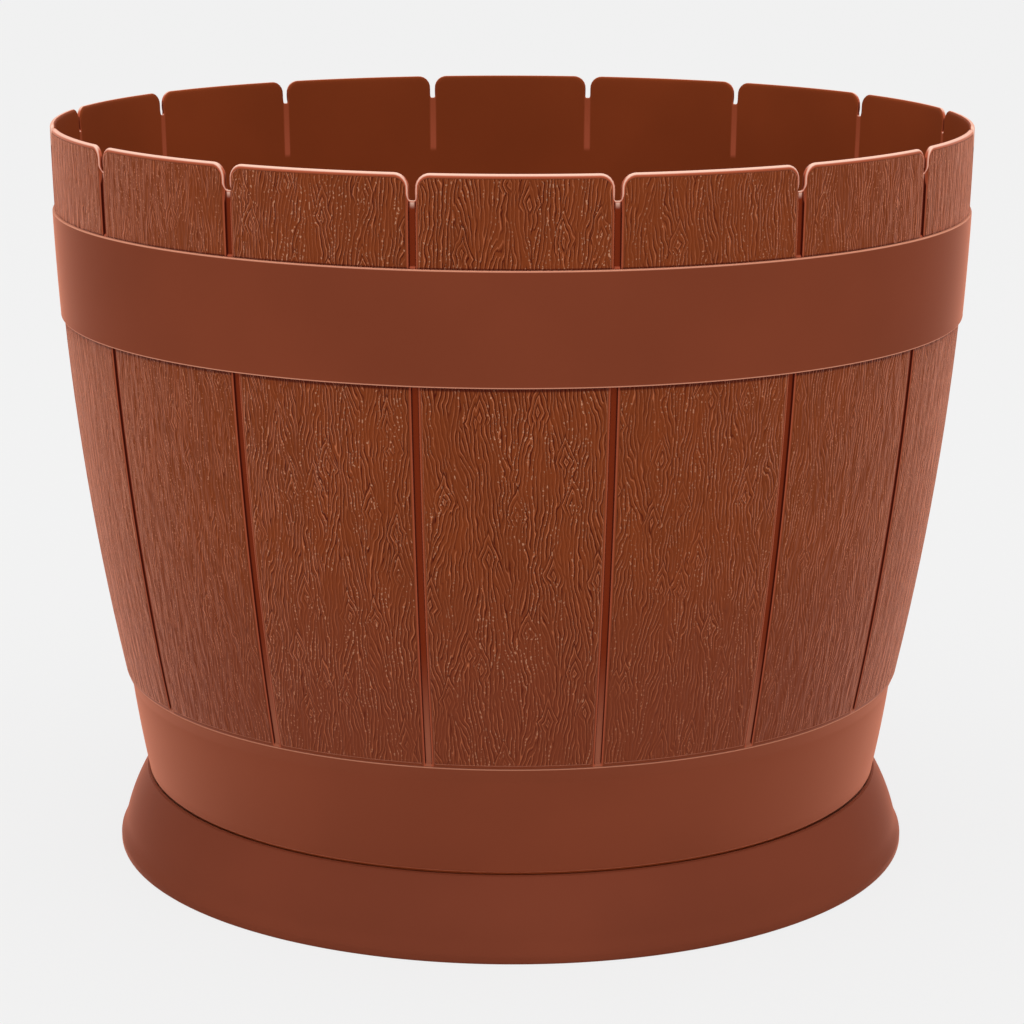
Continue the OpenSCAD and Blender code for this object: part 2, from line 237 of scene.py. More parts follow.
def paints(context):
    """Every colour of the panel as a plain tuple, in linear light."""
    group = context.scene.planter_colours
    return SimpleNamespace(**{prop.identifier: tuple(getattr(group, prop.identifier))
                              for prop in group.bl_rna.properties if prop.type == "FLOAT"})


# ---------------------------------------------------------------------------------------------
# Curves and surfaces
# ---------------------------------------------------------------------------------------------

def stave_radius(s, z):
    """Radius of the stave face: an arc of curve_radius whose widest point lies above the rim."""
    widest_z = s.rim_z + s.widest_above_rim
    return (s.barrel_radius - s.curve_radius
            + np.sqrt(s.curve_radius ** 2 - (widest_z - np.asarray(z, float)) ** 2))


def radius_at(s, z):
    """Radius of the stave face at one height, as a plain number."""
    return float(stave_radius(s, z))


def arc(centre, radius, start, end, steps=8):
    """Points at centre + radius * (cos a, sin a), with a from start to end in degrees."""
    a = np.radians(np.linspace(start, end, steps + 1))
    return np.column_stack([centre[0] + radius * np.cos(a), centre[1] + radius * np.sin(a)])


def bowed(start, end, belly, steps=12):
    """Points on a line that bulges to the right of its way: side * belly * 4t(1 - t)."""
    start, end = np.asarray(start, float), np.asarray(end, float)
    t = np.linspace(0, 1, steps + 1)[:, None]
    way = end - start
    side = np.array([way[1], -way[0]]) / np.hypot(*way)
    return start + way * t + side * belly * 4 * t * (1 - t)


def ramp(value, low, high):
    """Smooth step 3t^2 - 2t^3, from 0 at low to 1 at high."""
    t = np.clip((value - low) / (high - low), 0, 1)
    return t * t * (3 - 2 * t)


def grid_quads(rows, columns, close_rows=False, close_columns=False):
    """Corner indices of the quads of a rows x columns grid, row by row."""
    r = np.arange(rows if close_rows else rows - 1)[:, None]
    c = np.arange(columns if close_columns else columns - 1)[None, :]
    r2, c2 = (r + 1) % rows, (c + 1) % columns
    quads = np.stack([r * columns + c, r * columns + c2, r2 * columns + c2, r2 * columns + c], -1)
    return quads.reshape(-1, 4)


def spin(profile, segments=320):
    """A profile of (radius, height) points carried round the axis, as a closed surface."""
    profile = np.asarray(profile, float)
    a = np.arange(segments) * 2 * math.pi / segments
    r, z = profile[:, 0][:, None], profile[:, 1][:, None]
    points = np.stack([r * np.cos(a), r * np.sin(a), z + 0 * a], -1)
    on_axis = profile[0, 0] == 0 and profile[-1, 0] == 0
    quads = grid_quads(len(profile), segments, not on_axis, True)
    return points.reshape(-1, 3), quads


def tube(rings):
    """Rings of points joined into a closed body, each end drawn together at its middle."""
    rings = np.asarray(rings, float)
    ends = [np.broadcast_to(r.mean(0), r.shape)[None] for r in (rings[0], rings[-1])]
    rings = np.concatenate([ends[0], rings, ends[1]])
    return rings.reshape(-1, 3), grid_quads(rings.shape[0], rings.shape[1], False, True)


def turned(points, degrees):
    """Points turned about the axis."""
    a = math.radians(degrees)
    turn = np.array([[math.cos(a), math.sin(a), 0], [-math.sin(a), math.cos(a), 0], [0, 0, 1]])
    return points @ turn


def joined(*surfaces):
    """Several (points, quads) surfaces in one pair of arrays, each made to face outwards."""
    points, quads, start = [], [], 0
    for p, q in surfaces:
        a, b, c, d = (p[q[:, i]] for i in range(4))
        volume = (a * (np.cross(b, c) + np.cross(c, d))).sum()
        points.append(p)
        quads.append((q if volume > 0 else q[:, ::-1]) + start)
        start += len(p)
    return np.concatenate(points), np.concatenate(quads)


def welded(points, quads):
    """The index of the first point at each place, to 0.0001 mm, and the quads on those places."""
    key = np.round(points * 1e4 + 0.317).astype(np.int64)
    _, first, index = np.unique(key, axis=0, return_index=True, return_inverse=True)
    index = index.reshape(-1)
    return first, index[quads]


def add_piece(name, points, quads, materials, body, nodes, point_data=None, corner_uv=None,
              finish_of_face=None, sharp=35.0):
    """A smooth mesh object made of welded points, tied to its CAD body, nodes and slot."""
    first, faces = welded(points, quads)
    following = np.roll(faces, -1, axis=1)
    keep = faces != following                     # a corner equal to the next one is dropped
    count = keep.sum(1)
    whole = count >= 3
    faces, keep, count = faces[whole], keep[whole], count[whole]
    mesh = bpy.data.meshes.new(name)
    mesh.vertices.add(len(first))
    mesh.vertices.foreach_set("co", (points[first] * MM).ravel())
    mesh.loops.add(int(count.sum()))
    mesh.loops.foreach_set("vertex_index", faces[keep].astype(np.int32))
    mesh.polygons.add(len(count))
    mesh.polygons.foreach_set("loop_start", np.r_[0, np.cumsum(count)[:-1]].astype(np.int32))
    for attribute, values in (point_data or {}).items():
        layer = mesh.attributes.new(attribute, "FLOAT", "POINT")
        layer.data.foreach_set("value", values[first].astype(np.float32))
    if corner_uv is not None:
        layer = mesh.uv_layers.new(name="board_map")
        layer.uv.foreach_set("vector", corner_uv[whole][keep].astype(np.float32).ravel())
    if finish_of_face is not None:
        mesh.attributes.new("material_index", "INT", "FACE")
        mesh.polygons.foreach_set("material_index", finish_of_face[whole].astype(np.int32))
    mesh.update(calc_edges=True)
    mesh.validate()
    mesh.shade_smooth()
    mesh.set_sharp_from_angle(angle=math.radians(sharp))
    piece = bpy.data.objects.new(name, mesh)
    bpy.context.scene.collection.objects.link(piece)
    for material in materials:
        mesh.materials.append(material)
    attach(piece, body)
    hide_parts(*nodes)
    return piece


# ---------------------------------------------------------------------------------------------
# Pot
# ---------------------------------------------------------------------------------------------

def half_stave_columns(s):
    """One half of a stave as columns, from the middle of the groove to the stave's middle.

    low is the distance from the groove's middle on the stave face, and sink is the groove's
    depth there. The top edge runs through the points edge (distance, height above the notch),
    where out is the way outwards and radius is the rounding's radius. Along the stave's flat
    top, share goes from 0 at the corner to 1 at the stave's middle.
    """
    web = s.notch_width / 2 * np.array([0, 0.36, 0.72, 0.93])
    side_h = np.array([0.9, 1.5, 2.1, 2.8, 3.5, 4.3, 5.0])
    turn = np.radians(np.array([12, 28, 45, 62, 78, 90.0]))
    share = np.linspace(0, 1, 9)[1:]
    n_side, n_turn, n_top = len(side_h), len(turn), len(share)
    corner = s.notch_width / 2 + s.corner
    corner_h = s.notch_depth - s.corner
    low = np.concatenate([s.groove_width / 2 * np.array([0, 0.36, 0.71, 0.91, 0.99, 1.0, 1.06]),
                          [2.0, 2.35, 2.9, 3.6], [4.4, 5.3, 6.3, 7.3, 8.4, 9.5],
                          np.full(n_top, 9.5)])
    edge = np.concatenate([
        np.column_stack([web, [0, 0, 0.08, 0.4]]),
        np.column_stack([np.full(n_side, s.notch_width / 2), side_h]),
        np.column_stack([corner - s.corner * np.cos(turn), corner_h + s.corner * np.sin(turn)]),
        np.column_stack([np.full(n_top, corner), np.full(n_top, s.notch_depth)])])
    out_angle = np.concatenate([[90, 90, 112, 145], np.full(n_side, 180.0),
                                180 - np.degrees(turn), np.full(n_top, 90.0)])
    out = np.column_stack([np.cos(np.radians(out_angle)), np.sin(np.radians(out_angle))])
    thin = (s.wall - s.groove_depth) / 2
    radius = np.concatenate([[thin] * 3, [0.7, 0.9, 1.1, 1.25, 1.35],
                             np.full(3 + n_turn + n_top, s.wall / 2)])
    sink = np.concatenate([np.array([1, 1, 1, 0.9, 0.66, 0.43, 0.23, 0.09, 0, 0, 0]),
                           np.zeros(n_turn + n_top)]) * s.groove_depth
    share = np.concatenate([np.zeros(len(low) - n_top), share])
    return SimpleNamespace(low=low, edge=edge, out=out, radius=radius, sink=sink, share=share)


def groove_sink(s, columns, z):
    """Depth of the groove at each column and height.

    The depth is read from the groove's section at the distance from its middle line, or from
    the middle of its round lower end, and it gets a third shallower towards the bottom. Just
    above the upper band a small sill fills three quarters of it.
    """
    end_z = s.stave_end + s.groove_stop + s.groove_width / 2
    distance = np.hypot(columns.low[None, :], np.maximum(end_z - z[:, None], 0))
    section = slice(0, 9)  # the columns from the groove's middle to the plain face
    depth = np.interp(distance, columns.low[section], columns.sink[section])
    fade = 1 - 0.33 * np.clip((s.notch_z - z[:, None]) / (s.notch_z - s.stave_end), 0, 1)
    sill = 1 - 0.75 * ramp(z[:, None], s.upper_top + 1.6, s.upper_top + 0.3) * (
        z[:, None] > s.upper_top)
    return depth * fade * sill


def pot_rows(s, columns):
    """The pot's wall as rows of (distance, height, radius) on the half stave's columns.

    The rows run from under the floor up the outside, over the edge in a half round, and down
    the inside to the floor. Below the notch a column keeps its distance from the groove. From
    there it leans over to its place on the top edge. Each row also holds where the grain lies
    (1 on the stave's face) and how far it lies on the rounded edge (1 at the crest).
    """
    n = len(columns.low)
    one = np.ones(n)
    rows = []

    def add(distance, z, r, grain=0.0, edge=0.0):
        """One row, in which a single number holds for every column."""
        rows.append([distance, z * one, r * one, grain * one, edge * one])

    def plain(r, z):
        """One row of a single height and radius."""
        add(columns.low, z, r)

    bend = 3  # radius of the edge round the pot's underside
    for r, z in arc((s.spigot_r - bend, s.floor_z + bend), bend, -90, 0, 5):
        plain(r, z)
    plain(s.band_seat, s.lip_z)
    plain(s.lip_seat, s.stave_end)
    end_r = radius_at(s, s.stave_end)
    plain(end_r - 0.4, s.stave_end)
    plain(end_r - 0.12, s.stave_end + 0.1)

    groove_end = np.array([0.4, 1.0, 1.5, 1.8, 2.1, 2.5, 2.9, 3.4, 4.2, 5.4])
    low_z = np.concatenate([s.stave_end + groove_end,
                            np.linspace(s.stave_end + 18, s.upper_bottom - s.fit, 13)])
    seat_z = np.array([s.upper_bottom - s.fit, s.upper_top + s.fit])
    seat = np.array([radius_at(s, s.upper_bottom) + s.proud_bottom,
                     radius_at(s, s.upper_top) + s.proud_top]) - s.upper_thickness - s.fit
    lean_z = s.notch_z - 6
    high_z = np.concatenate([s.upper_top + np.array([0.3, 0.7, 1.15, 1.6]),
                             np.linspace(s.upper_top + 6, lean_z, 4)])

    def faced(heights):
        """Rows on the stave's face, with its groove and grain."""
        for z, d in zip(heights, groove_sink(s, columns, heights)):
            grain = ramp(columns.low, *GRAIN_START)
            add(columns.low, z, stave_radius(s, z) - d,
                grain * ramp(z, s.stave_end + 1.2, s.stave_end + 2.4))

    faced(low_z)
    for z, r in zip(seat_z, seat):
        d = groove_sink(s, columns, np.array([z]))[0]
        add(columns.low, z, np.minimum(stave_radius(s, z) - d, r))
    faced(high_z)

    inner = columns.edge - columns.out * columns.radius[:, None]
    low_sink = groove_sink(s, columns, np.array([lean_z]))[0]
    leans = np.array([0.25, 0.5, 0.74, 0.9, 1.0])

    def lean(w, sink_low, sink_top):
        """Distance, height and radius w of the way from lean_z to the top edge."""
        distance = columns.low + (inner[:, 0] - columns.low) * w
        z = lean_z + (s.notch_z + inner[:, 1] - lean_z) * w
        return distance, z, stave_radius(s, z) - (sink_low + (sink_top - sink_low) * w)

    for w in leans:
        distance, z, r = lean(w, low_sink, columns.sink)
        grain = ramp(distance, *GRAIN_START) * (1 - ramp(w, 0.9, 1.0))
        add(distance, z, r, grain, RIM_GLOW[1][-1] * (w == 1.0))
    outer_rows = len(rows) + 4
    level = np.abs(columns.out[:, 1]) ** 1.5   # 1 on the flat top and 0 on the notch's sides
    for a in np.radians(np.linspace(90, -90, 9))[1:-1]:
        place = inner + columns.out * (columns.radius * math.cos(a))[:, None]
        z = s.notch_z + place[:, 1]
        sink = (columns.sink * (1 + math.sin(a)) + s.wall * (1 - math.sin(a))) / 2
        top_glow, side_glow = (np.interp(math.degrees(a), *g) for g in (RIM_GLOW, SIDE_GLOW))
        add(place[:, 0], z, stave_radius(s, z) - sink, 0.0,
            side_glow + (top_glow - side_glow) * level)
    for w in np.append(leans[::-1], 0.0):
        distance, z, r = lean(w, s.wall, s.wall)
        add(distance, z, r)

    for z in np.linspace(lean_z, s.stave_end + s.wall, 12)[1:]:
        plain(radius_at(s, z) - s.wall, z)
    plain(s.band_seat - s.wall, s.lip_z - s.wall / 2)
    fillet_r = s.spigot_r + s.floor * s.band_slope - s.wall
    for r, z in arc((fillet_r - s.floor_fillet, s.floor_top + s.floor_fillet), s.floor_fillet,
                    0, -90, 6):
        plain(r, z)
    distance, z, r, grain, edge = (np.array(part) for part in zip(*rows))
    groove = np.where(z > s.stave_end + 0.05, distance, PLAIN_DATA["from_groove"])
    return SimpleNamespace(distance=distance, z=z, r=r, outer_rows=outer_rows,
                           data={"grain_mask": grain, "edge_glow": edge, "from_groove": groove})


def pot_wall(s):
    """The pot's wall: every row of the half stave repeated and mirrored round the axis.

    The angle from the groove is distance / radius, and from the corner to the stave's middle it
    goes evenly to half a pitch.
    """
    columns = half_stave_columns(s)
    rows = pot_rows(s, columns)
    n = len(columns.low)
    face_r = stave_radius(s, np.maximum(rows.z, s.stave_end))
    angle = rows.distance / face_r * (1 - columns.share) + s.half_pitch * columns.share
    order = np.concatenate([np.arange(n), np.arange(n - 2, 0, -1)])
    mirrored = np.concatenate([np.zeros(n, bool), np.ones(n - 2, bool)])
    local = np.where(mirrored, 2 * s.half_pitch - angle[:, order], angle[:, order])
    start = (np.arange(s.stave_count) - 0.5) * 2 * s.half_pitch
    turn = (start[None, :, None] + local[:, None, :]).reshape(len(local), -1)
    r, z = (np.tile(part[:, order], (1, s.stave_count)) for part in (rows.r, rows.z))
    data = {key: np.tile(part[:, order], (1, s.stave_count)) for key, part in rows.data.items()}
    points = np.stack([r * np.cos(turn), r * np.sin(turn), z], -1)

    along = (local - s.half_pitch) * face_r[:, order]
    along_next = np.concatenate([along[:, 1:], -along[:, :1]], 1)
    board = BOARD_STEP * np.arange(s.stave_count)[None, :, None]
    left, right = ((a[:, None, :] + board).reshape(len(a), -1) for a in (along, along_next))
    quads = grid_quads(points.shape[0], points.shape[1], False, True)
    u = np.stack([left[:-1], right[:-1], right[1:], left[1:]], -1).reshape(-1, 4)
    flat_z = z.ravel()
    corner_uv = np.stack([u, flat_z[quads]], -1)
    inside = np.repeat(np.arange(len(z) - 1) >= rows.outer_rows, z.shape[1])
    return SimpleNamespace(points=points, quads=quads, corner_uv=corner_uv, data=data,
                           inside=inside, half=n - 1)


def floor_patch(edge, centre, hole_r, z):
    """A flat patch from a drain hole's circle out to the patch's edge.

    Each edge point is joined to the circle's point in the same direction from the hole's centre:
    circle + (edge - circle) * t.
    """
    way = edge - centre
    circle = centre + hole_r * way / np.linalg.norm(way, axis=1)[:, None]
    t = np.array([0, 0.05, 0.15, 0.4, 1.0])[:, None, None]
    flat = circle + (edge - circle) * t
    points = np.concatenate([flat, np.full(flat.shape[:2] + (1,), z)], -1)
    return points.reshape(-1, 3), grid_quads(len(t), len(edge), False, True), circle


def pot_floor(s, under_edge, top_edge):
    """Top and underside of the floor in four quarters, each round its drain hole and its bore."""
    parts = []
    quarter = under_edge.shape[0] // 4
    spokes = np.linspace(0, 1, 33)[1:-1][:, None]
    for i in range(4):
        turn = math.radians(90 * i + 45)
        centre = s.drain_circle * np.array([math.cos(turn), math.sin(turn)])
        circles = []
        for edge, z, flip in ((under_edge, s.floor_z, False), (top_edge, s.floor_top, True)):
            rim = np.take(edge, np.arange(quarter * i, quarter * (i + 1) + 1), 0, mode="wrap")
            outline = np.concatenate([rim, rim[-1] * (1 - spokes), [[0, 0]], rim[0] * spokes])
            points, quads, circle = floor_patch(outline, centre, s.drain_radius, z)
            parts.append((points, quads[:, ::-1] if flip else quads, np.full(len(quads), flip)))
            circles.append(np.column_stack([circle, np.full(len(circle), z)]))
        bore = grid_quads(2, len(circles[0]), False, True)[:, ::-1]
        parts.append((np.concatenate(circles), bore, np.zeros(len(bore), bool)))
    return parts


def foot_ring(s, bottom_z, gap_z):
    """Ring under the pot: its lower edge is bottom_z high, and gap_z high in each of four gaps."""
    steps, edge = 40, 0.4  # points along a quarter, and the bevel of the lower edges
    half_gap = s.foot_gap / 2 / (s.foot_radius - s.foot_width / 2)
    rise = np.linspace(half_gap, math.pi / 2 - half_gap, steps)
    sector = np.concatenate([[-half_gap, 0, half_gap], rise])
    low = np.tile(np.concatenate([np.full(3, gap_z), np.full(steps, bottom_z)]), 4)
    a = (sector[None, :] + np.arange(4)[:, None] * math.pi / 2).ravel()
    r0, r1, top = s.foot_radius - s.foot_width, s.foot_radius, s.floor_z + 0.5
    section_r = np.array([r0, r0, r0 + edge, r1 - edge, r1, r1])
    section_up = np.array([1, 0, 0, 0, 0, 1.0])
    lift = edge * np.array([0, 1, 0, 0, 1, 0])
    z = low[None, :] + (top - low[None, :]) * section_up[:, None] + lift[:, None]
    points = np.stack([section_r[:, None] * np.cos(a), section_r[:, None] * np.sin(a), z], -1)
    return points.reshape(-1, 3), grid_quads(6, len(a), True, True)


def build_pot(s, outside, inside):
    """The pot: wall, floor with four drain holes, and foot ring."""
    wall = pot_wall(s)
    under_edge = np.roll(wall.points[0], -wall.half, axis=0)[:, :2]
    top_edge = np.roll(wall.points[-1], -wall.half, axis=0)[:, :2]
    parts = [(wall.points.reshape(-1, 3), wall.quads, wall.inside)]
    parts += pot_floor(s, under_edge, top_edge)
    ring, ring_quads = joined(foot_ring(s, s.tray_floor + 0.1, s.floor_z - 1))
    parts.append((ring, ring_quads, np.zeros(len(ring_quads), bool)))
    starts = np.cumsum([0] + [len(part[0]) for part in parts])
    points = np.concatenate([part[0] for part in parts])
    quads = np.concatenate([part[1] + start for part, start in zip(parts, starts)])
    inner = np.concatenate([part[2] for part in parts])
    corner_uv = np.zeros(quads.shape + (2,))
    corner_uv[:len(wall.corner_uv)] = wall.corner_uv
    data = {}
    for key, values in wall.data.items():
        data[key] = np.full(len(points), PLAIN_DATA[key])
        data[key][:values.size] = values.ravel()
    return add_piece("pot_shell", points, quads, (outside, inside), "pot", ["stave_shell"],
                     data, corner_uv, inner, sharp=50.0)


# ---------------------------------------------------------------------------------------------
# Bands, base and plugs
# ---------------------------------------------------------------------------------------------

def upper_band_profile(s):
    """Section of the upper band: straight back, rounded edges and a slightly bulged face."""
    top = radius_at(s, s.upper_top) + s.proud_top
    bottom = radius_at(s, s.upper_bottom) + s.proud_bottom
    return np.concatenate([
        [[bottom - s.upper_thickness, s.upper_bottom]],
        arc((bottom - s.edge, s.upper_bottom + s.edge), s.edge, -90, 0),
        bowed((bottom, s.upper_bottom + 2 * s.edge), (top, s.upper_top - 2 * s.edge), 0.2),
        arc((top - s.edge, s.upper_top - s.edge), s.edge, 0, 90),
        [[top - s.upper_thickness, s.upper_top]]])


def lower_band_profile(s):
    """Section of the lower band: rounded foot, drawn-in face and a flared lip at the top."""
    foot_r = s.band_face - s.taper
    t = s.lower_thickness
    lip_edge = 0.35
    return np.concatenate([
        [[foot_r - t, s.band_bottom]],
        arc((foot_r - s.lower_edge, s.band_bottom + s.lower_edge), s.lower_edge, -90, 0),
        bowed((foot_r, s.band_bottom + s.lower_edge + 0.2), (s.band_face - 0.03, s.lip_z - 1.2),
              0.4),
        [[s.band_face + 0.16, s.lip_z + 0.6]],
        [[s.lip_face - 0.25, s.stave_end - 1.4]],
        arc((s.lip_face - lip_edge, s.stave_end - 2 * s.fit - lip_edge), lip_edge, 0, 90, 4),
        [[s.lip_face - t, s.stave_end - 2 * s.fit], [s.band_face - t, s.lip_z]]])


def skirt_radius(s, b, z):
    """Radius of the skirt's face: a straight flare plus belly * 4t(1 - t)."""
    t = (z - b.bevel_z) / (s.base_top - b.bevel_z)
    return b.bevel_r + (b.rim_r - b.bevel_r) * t + s.belly * 4 * t * (1 - t)


def base_sizes(s):
    """Radii and heights of the base, worked out from its settings."""
    b = SimpleNamespace()
    b.rim_r = s.band_face - s.taper + s.rim_step
    b.foot_r = b.rim_r + s.flare
    b.bevel_r = b.foot_r - s.bevel_width
    b.bevel_z = s.band_height + s.bevel_height
    b.tray_r = s.band_seat - s.band_slope * (s.lip_z - s.base_top) + s.spigot_play
    b.rim_edge = (b.rim_r - b.tray_r) / 2.5
    slope = (b.bevel_r - b.rim_r) / (s.base_top - b.bevel_z)
    fork_gap = b.bevel_r + s.belly - s.skirt - b.tray_r - s.tray_thickness - 1.2
    b.fork_z = b.bevel_z + fork_gap / slope
    b.root = s.tray_floor - s.tray_thickness / 2
    return b


def base_profile(s, b):
    """Section of the base from the axis under the tray, round the skirt and back to the axis."""
    face_z = np.linspace(b.bevel_z + 1.2, s.base_top - b.rim_edge, 16)
    face = np.column_stack([skirt_radius(s, b, face_z), face_z])
    back_z = np.linspace(b.fork_z, b.bevel_z, 9)
    back = np.column_stack([skirt_radius(s, b, back_z) - s.skirt, back_z])
    t, floor_z = s.tray_thickness, s.tray_floor
    flat = np.array([[0, 0], [60, 0], [130, 0]])  # from the axis outwards, on the tray's floor
    bevel_mid = [(b.foot_r + b.bevel_r) / 2 - 0.15, s.band_height + s.bevel_height / 2]
    return np.concatenate([
        flat + [0, floor_z - t],
        [[b.tray_r, floor_z - t], [b.tray_r + t, b.fork_z - 1], [b.tray_r + t + 0.6, b.fork_z]],
        back, [[b.foot_r - s.skirt, s.band_height], [b.foot_r - s.skirt, 0]],
        arc((b.foot_r - s.foot_edge, s.foot_edge), s.foot_edge, -90, 0),
        [[b.foot_r, s.band_height - 0.9], [b.foot_r - 0.18, s.band_height + 0.3], bevel_mid,
         [b.bevel_r + 0.22, b.bevel_z - 0.3]],
        face, arc((b.rim_r - b.rim_edge, s.base_top - b.rim_edge), b.rim_edge, 0, 90),
        arc((b.tray_r + b.rim_edge, s.base_top - b.rim_edge), b.rim_edge, 90, 180),
        arc((b.tray_r - 0.5 - t, floor_z + t), t, 0, -90, 5),
        flat[::-1] + [0, floor_z]])


def ring_profile(radius, low, high, thickness):
    """Section of an upright ring, given by its outer radius, with bevelled lower edges."""
    bevel, inner = 0.35, radius - thickness
    return np.array([[inner, high], [inner, low + bevel], [inner + bevel, low],
                     [radius - bevel, low], [radius, low + bevel], [radius, high]])


def rib_rings(s, b):
    """One rib as upright slices along X.

    Its lower edge is level, and its upper edge follows the tray's underside and then the inside
    of the skirt.
    """
    wall = b.tray_r + s.tray_thickness / 2
    z = np.linspace(b.fork_z, s.rib_lift + 0.2, 10)
    skirt_z = np.maximum(z, b.bevel_z)
    skirt_r = skirt_radius(s, b, skirt_z) - s.skirt / 2 + (skirt_z - z) * 0.02
    x = np.concatenate([np.linspace(s.hub_radius - s.rib / 2, wall, 6), [wall], skirt_r])
    top = np.concatenate([np.full(6, b.root), [b.fork_z], z])
    half = s.rib / 2
    y = np.array([-half * 0.8, half * 0.8, half, -half])
    return np.stack([np.broadcast_to(x[:, None], (len(x), 4)), np.broadcast_to(y, (len(x), 4)),
                     np.stack([np.full(len(x), s.rib_lift)] * 2 + [top] * 2, 1)], -1)


def build_base(s, material):
    """The flared base: tray and skirt in one section, with rings and ribs under the tray."""
    b = base_sizes(s)
    parts = [spin(base_profile(s, b)),
             spin(ring_profile(s.foot_radius, 0, b.root, s.rib), segments=288),
             spin(ring_profile(s.hub_radius, s.rib_lift, b.root, s.rib), segments=144)]
    rib_points, rib_quads = tube(rib_rings(s, b))
    for i in range(s.rib_count):
        parts.append((turned(rib_points, (i + 0.5) * 360 / s.rib_count), rib_quads))
    points, quads = joined(*parts)
    return add_piece("flared_base", points, quads, [material], "base", ["base_tray"])


def plug_surfaces(s):
    """A drain plug about its own axis: flange and hollow shank as one section, and its grip.

    The grip is a row of upright arches, and towards its two ends they are drawn in and lower.
    """
    r, rim = s.drain_radius - PLUG_PLAY, s.plug_flange
    inner_r, shank, thick = r - s.plug_wall, PLUG_SHANK, PLUG_FLANGE
    section = np.concatenate([
        [[0, -0.0001], [inner_r, -0.0001], [inner_r, -shank]],
        [[r - 0.7, -shank], [r, 1.2 - shank], [r, -0.3], [r + 0.15, 0]],
        arc((rim - 0.4, 0.4), 0.4, -90, 0, 4),
        arc((rim - 0.8, thick - 0.8), 0.8, 0, 90, 6), [[rim * 0.4, thick], [0, thick]]])
    half_t = s.grip_thickness / 2
    side = arc((0, PLUG_TOP - half_t), half_t, 0, 180, 12)
    outline = np.concatenate([[[half_t + 0.25, thick - 0.4], [half_t, thick + 0.3]], side,
                              [[-half_t, thick + 0.3], [-half_t - 0.25, thick - 0.4]]])
    y = s.grip_length / 2 * np.array([-1, -0.985, -0.93, -0.5, 0, 0.5, 0.93, 0.985, 1])
    draw = np.array([0.72, 0.9, 1, 1, 1, 1, 1, 0.9, 0.72])[:, None]
    drop = np.array([0.93, 0.98, 1, 1, 1, 1, 1, 0.98, 0.93])[:, None]
    x, z = outline[None, :, 0], outline[None, :, 1]
    rings = np.stack([x * draw, np.broadcast_to(y[:, None], (len(y), len(outline))),
                      np.where(z > thick, thick + (z - thick) * drop, z)], -1)
    return spin(section, segments=72), tube(rings)


def build_plug(s, number, material):
    """One drain plug, turned so that its grip lies square to the way from the axis."""
    moved = []
    for points, quads in plug_surfaces(s):
        points = points + [s.drain_circle, 0, s.plug_seat]
        moved.append((turned(points, (number - 0.5) * 90), quads))
    points, quads = joined(*moved)
    return add_piece(f"push_plug_{number}", points, quads, [material], f"plug_{number}",
                     [f"drain_plug_{number}"])


# ---------------------------------------------------------------------------------------------
# Finishes
# ---------------------------------------------------------------------------------------------

class Wire:
    """A value in a material's node tree, on which Python's operators add Math nodes."""

    def __init__(self, finish, socket):
        self.finish, self.socket = finish, socket

    def maths(self, operation, *values):
        """A Math node of that operation on the values."""
        node = self.finish.node("ShaderNodeMath", {"operation": operation},
                                dict(enumerate(values)))
        return Wire(self.finish, node.outputs[0])

    def __add__(self, other):
        return self.maths("ADD", self, other)

    def __sub__(self, other):
        return self.maths("SUBTRACT", self, other)

    def __rsub__(self, other):
        return self.maths("SUBTRACT", other, self)

    def __mul__(self, other):
        return self.maths("MULTIPLY", self, other)

    def __truediv__(self, other):
        return self.maths("DIVIDE", self, other)

    def __rtruediv__(self, other):
        return self.maths("DIVIDE", other, self)

    __radd__, __rmul__ = __add__, __mul__

    def fraction(self):
        """The part behind the decimal point."""
        return self.maths("FRACT", self)

    def floor(self):
        """The whole number below."""
        return self.maths("FLOOR", self)

    def ramp(self, low, high, bottom=0.0, top=1.0):
        """Smooth step of this value from bottom at low to top at high."""
        node = self.finish.node("ShaderNodeMapRange", {"interpolation_type": "SMOOTHSTEP"},
                                {0: self, 1: low, 2: high, 3: bottom, 4: top})
        return Wire(self.finish, node.outputs[0])

    def fall(self, low, high):
        """Smooth step of this value from 1 at low to 0 at high."""
        return self.ramp(low, high, 1.0, 0.0)

    def strip(self, rise, full, thin, end, at=0.0):
        """1 from full to thin, and 0 below rise and above end, all measured from at."""
        return self.ramp(at + rise, at + full) * self.fall(at + thin, at + end)


